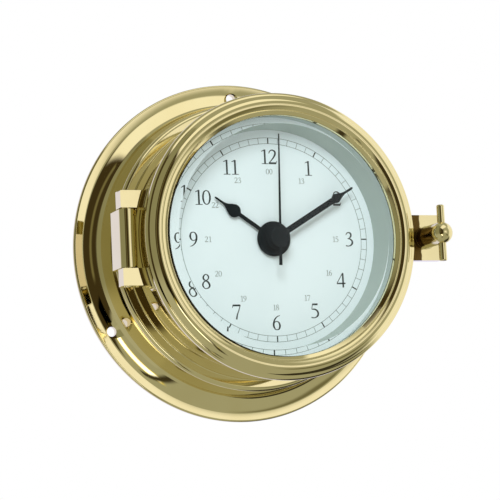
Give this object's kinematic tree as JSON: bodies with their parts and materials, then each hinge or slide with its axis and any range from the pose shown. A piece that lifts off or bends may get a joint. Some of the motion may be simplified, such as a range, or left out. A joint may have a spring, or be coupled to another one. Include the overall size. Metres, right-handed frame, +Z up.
{
  "type": "ships deck clock",
  "caption": "Round brass clock with a screw-down flange, stepped drum, hinged glazed bezel with thumb screw, white dial, three hands and a battery quartz movement.",
  "frame": {"origin": "centre of the mounting flange's flat back face", "axes": "+Z up through 12 o'clock, the clock faces -Y, +X to its 3 o'clock"},
  "size_m": [0.1571, 0.0718, 0.155],
  "materials": {
    "polished_brass": "polished and lacquered",
    "dial_paint": "smooth matt white enamel with printed figures",
    "dial_ring_paint": "satin white",
    "hand_black": "satin black",
    "bezel_glass": "clear, bevelled and polished",
    "black_rubber": "plain",
    "movement_plastic": "fine moulded texture",
    "bridge_plastic": "fine moulded texture",
    "wheel_plastic": "smooth moulded acetal",
    "movement_brass": "turned",
    "bright_steel": "rolled and stamped",
    "coil_wire": "enamelled copper wire",
    "board_green": "solder mask",
    "chip_black": "moulded",
    "battery_jacket": "printed film jacket",
    "magnet_grey": "sintered"
  },
  "bodies": {
    "case": {"case_body": "polished_brass", "hinge_lug": "polished_brass", "hinge_pin": "polished_brass", "latch_lug": "polished_brass", "dial": "dial_paint", "dial_ring": "dial_ring_paint", "dial_screws": "movement_brass", "movement_cover": "movement_plastic", "movement_housing": "movement_plastic", "dial_nut": "movement_brass", "dial_washer": "bright_steel", "train_bridge": "bridge_plastic", "stator": "bright_steel", "coil": "coil_wire", "coil_core": "bright_steel", "circuit_board": "board_green", "control_chip": "chip_black", "quartz_crystal": "bright_steel", "battery": "battery_jacket", "positive_contact": "movement_brass", "negative_contact": "movement_brass"},
    "bezel": {"bezel_ring": "polished_brass", "bezel_glass": "bezel_glass", "glass_gasket": "black_rubber", "glass_retaining_ring": "polished_brass", "bezel_seal": "black_rubber"},
    "latch_washer": {"latch_washer": "polished_brass"},
    "latch_screw": {"thumb_screw": "polished_brass", "tommy_bar": "polished_brass"},
    "minute": {"minute_hand": "hand_black", "cannon_pinion": "movement_brass", "centre_wheel": "movement_brass"},
    "hour": {"hour_hand": "hand_black", "hour_wheel": "wheel_plastic"},
    "seconds": {"seconds_hand": "hand_black", "seconds_wheel": "wheel_plastic"},
    "third": {"third_wheel": "wheel_plastic"},
    "intermediate": {"intermediate_wheel": "wheel_plastic"},
    "rotor": {"rotor_pinion": "wheel_plastic", "rotor_magnet": "magnet_grey"},
    "motion": {"motion_wheel": "wheel_plastic"},
    "setting": {"setting_arbor": "wheel_plastic", "setting_knob": "movement_plastic"}
  },
  "joints": [
    {"name": "bezel_swing", "type": "hinge", "parent": "case", "child": "bezel", "pos_m": [-0.0662, -0.0472, 0], "axis": [0, 0, -1], "range_deg": [0, 120]},
    {"name": "latch_travel", "type": "slide", "parent": "bezel", "child": "latch_washer", "axis": [0, -1, 0], "range_m": [0, 0.0056]},
    {"name": "latch_turn", "type": "hinge", "parent": "latch_washer", "child": "latch_screw", "pos_m": [0.0715, -0.055, 0], "axis": [0, -1, 0], "range_deg": [0, 2520]},
    {"name": "minute_turn", "type": "hinge", "parent": "case", "child": "minute", "pos_m": [0, -0.0483, 0], "axis": [0, 1, 0], "continuous": true},
    {"name": "hour_turn", "type": "hinge", "parent": "case", "child": "hour", "pos_m": [0, -0.0454, 0], "axis": [0, 1, 0], "continuous": true},
    {"name": "seconds_turn", "type": "hinge", "parent": "case", "child": "seconds", "pos_m": [0, -0.0528, 0], "axis": [0, 1, 0], "continuous": true},
    {"name": "third_turn", "type": "hinge", "parent": "case", "child": "third", "pos_m": [-0.0085, -0.035, 0], "axis": [0, 1, 0], "continuous": true},
    {"name": "intermediate_turn", "type": "hinge", "parent": "case", "child": "intermediate", "pos_m": [0, -0.0305, 0.0072], "axis": [0, 1, 0], "continuous": true},
    {"name": "rotor_turn", "type": "hinge", "parent": "case", "child": "rotor", "pos_m": [0, -0.0305, 0.0135], "axis": [0, 1, 0], "continuous": true},
    {"name": "motion_turn", "type": "hinge", "parent": "case", "child": "motion", "pos_m": [0.0075, -0.0384, 0], "axis": [0, 1, 0], "continuous": true},
    {"name": "setting_turn", "type": "hinge", "parent": "case", "child": "setting", "pos_m": [0.01441, -0.0384, 0.00484], "axis": [0, 1, 0], "continuous": true}
  ],
  "couplings": [
    {"joint": "latch_turn", "follows": "latch_travel", "rad_per_m": 7854},
    {"joint": "hour_turn", "follows": "minute_turn", "ratio": 0.083333},
    {"joint": "seconds_turn", "follows": "minute_turn", "ratio": 60},
    {"joint": "third_turn", "follows": "minute_turn", "ratio": -8},
    {"joint": "intermediate_turn", "follows": "minute_turn", "ratio": -300},
    {"joint": "rotor_turn", "follows": "minute_turn", "ratio": 1800},
    {"joint": "motion_turn", "follows": "minute_turn", "ratio": -0.33333},
    {"joint": "setting_turn", "follows": "minute_turn", "ratio": 0.66667}
  ]
}
